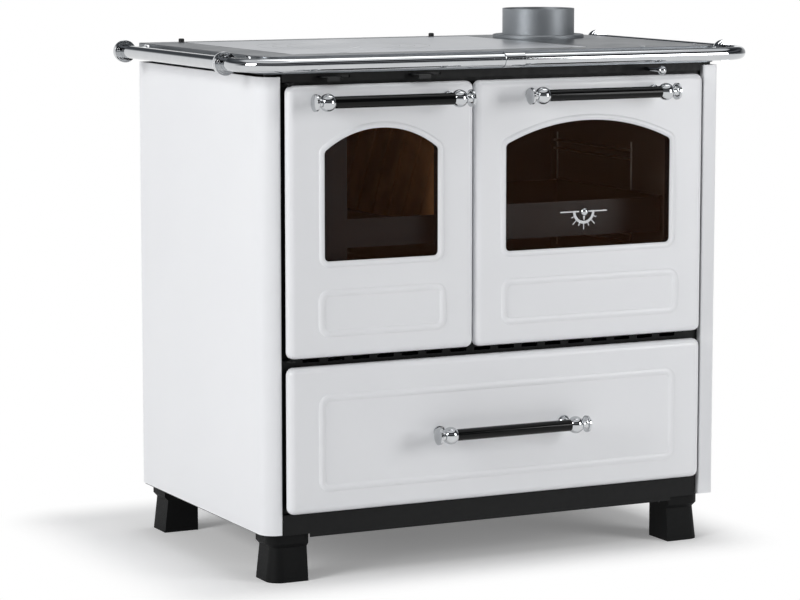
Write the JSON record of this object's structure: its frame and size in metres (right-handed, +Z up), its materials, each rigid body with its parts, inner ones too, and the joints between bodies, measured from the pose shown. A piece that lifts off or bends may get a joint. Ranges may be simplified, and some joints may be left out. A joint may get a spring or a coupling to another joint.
{
  "type": "wood cookstove",
  "caption": "Free-standing wood cookstove: glazed fire and oven doors, wood drawer, cast top with lift-out rings, flue spigot and chrome rail.",
  "frame": {"origin": "on the floor, under the middle of the box round the whole stove", "axes": "+X to the right as seen from the front, +Y to the back, +Z up"},
  "size_m": [0.978, 0.6065, 0.912],
  "materials": {
    "white_enamel": "glossy vitreous enamel",
    "black_paint": "satin heat-proof paint",
    "cast_black": "painted casting",
    "galvanised_steel": "galvanised",
    "casing_steel": "bare hot-rolled sheet",
    "zinc_plated": "zinc plated",
    "frame_grey": "satin grey",
    "plate_steel": "ground satin",
    "flue_grey": "matte grey paint",
    "black_rubber": "matte",
    "chrome": "polished",
    "grip_black": "satin",
    "tinted_glass": "clear tinted",
    "sealing_rope": "woven rope",
    "dark_enamel": "dark speckled enamel"
  },
  "bodies": {
    "stove_body": {"ash_pan": "casing_steel", "back_panel": "galvanised_steel", "base_plate": "black_paint", "crossbar_top": "black_paint", "damper_duct": "casing_steel", "drawer_runners": "galvanised_steel", "feet_front": "cast_black", "feet_rear": "cast_black", "fire_door_hinges": "black_paint", "fire_grate": "cast_black", "firebox_casing": "casing_steel", "firebox_lining": "cast_black", "flue_collar": "flue_grey", "foot_screws": "zinc_plated", "front_frame": "black_paint", "oven_box": "dark_enamel", "oven_door_hinges": "black_paint", "oven_rack_guides": "chrome", "oven_tray": "dark_enamel", "plinth_bar": "black_paint", "rail_brackets_left": "chrome", "rail_brackets_right": "chrome", "rail_front_left": "chrome", "rail_front_right": "chrome", "rail_side_left": "chrome", "rail_side_right": "chrome", "rail_sleeve": "chrome", "rear_caps": "black_rubber", "side_panel_left": "white_enamel", "side_panel_right": "white_enamel", "top_frame": "frame_grey", "top_screws": "zinc_plated"},
    "fire_door": {"fire_door_skin": "white_enamel", "fire_door_liner": "black_paint", "fire_door_glass": "tinted_glass", "fire_door_gasket": "sealing_rope", "fire_door_handle_rod": "grip_black", "fire_door_handle_ends": "chrome"},
    "oven_door": {"oven_door_skin": "white_enamel", "oven_door_liner": "black_paint", "oven_door_glass": "tinted_glass", "oven_door_gasket": "sealing_rope", "oven_door_pins": "zinc_plated", "thermometer_dial": "chrome", "oven_door_handle_rod": "grip_black", "oven_door_handle_ends": "chrome"},
    "thermometer_pointer": {"thermometer_pointer": "chrome"},
    "drawer": {"drawer_front": "white_enamel", "drawer_box": "galvanised_steel", "drawer_handle_rod": "grip_black", "drawer_handle_ends": "chrome"},
    "damper": {"damper_knob": "chrome", "damper_rod": "chrome", "damper_plate": "casing_steel"},
    "air_slide": {"air_slider": "black_paint"},
    "cooking_plate": {"hob_plate": "plate_steel"},
    "outer_ring": {"hob_ring_outer": "plate_steel"},
    "inner_ring": {"hob_ring_inner": "plate_steel"},
    "centre_disc": {"hob_centre_disc": "plate_steel"}
  },
  "joints": [
    {"name": "fire_door_hinge", "type": "hinge", "parent": "stove_body", "child": "fire_door", "pos_m": [-0.381, -0.23575, 0.59225], "axis": [0, 0, -1], "range_deg": [0, 100]},
    {"name": "oven_door_hinge", "type": "hinge", "parent": "stove_body", "child": "oven_door", "pos_m": [0.1695, -0.22775, 0.378], "axis": [1, 0, 0], "range_deg": [0, 88]},
    {"name": "thermometer_pointer_turn", "type": "hinge", "parent": "oven_door", "child": "thermometer_pointer", "pos_m": [0.1555, -0.24475, 0.588], "axis": [0, -1, 0], "range_deg": [-90, 90]},
    {"name": "drawer_slide", "type": "slide", "parent": "stove_body", "child": "drawer", "axis": [0, -1, 0], "range_m": [0, 0.35]},
    {"name": "damper_pull", "type": "slide", "parent": "stove_body", "child": "damper", "axis": [0, -1, 0], "range_m": [0, 0.06]},
    {"name": "air_slide_shift", "type": "slide", "parent": "stove_body", "child": "air_slide", "axis": [1, 0, 0], "range_m": [0, 0.02]},
    {"name": "cooking_plate_lift", "type": "slide", "parent": "stove_body", "child": "cooking_plate", "axis": [0, 0, 1], "range_m": [0, 0.05]},
    {"name": "outer_ring_lift", "type": "slide", "parent": "cooking_plate", "child": "outer_ring", "axis": [0, 0, 1], "range_m": [0, 0.04]},
    {"name": "inner_ring_lift", "type": "slide", "parent": "outer_ring", "child": "inner_ring", "axis": [0, 0, 1], "range_m": [0, 0.04]},
    {"name": "centre_disc_lift", "type": "slide", "parent": "inner_ring", "child": "centre_disc", "axis": [0, 0, 1], "range_m": [0, 0.04]}
  ]
}
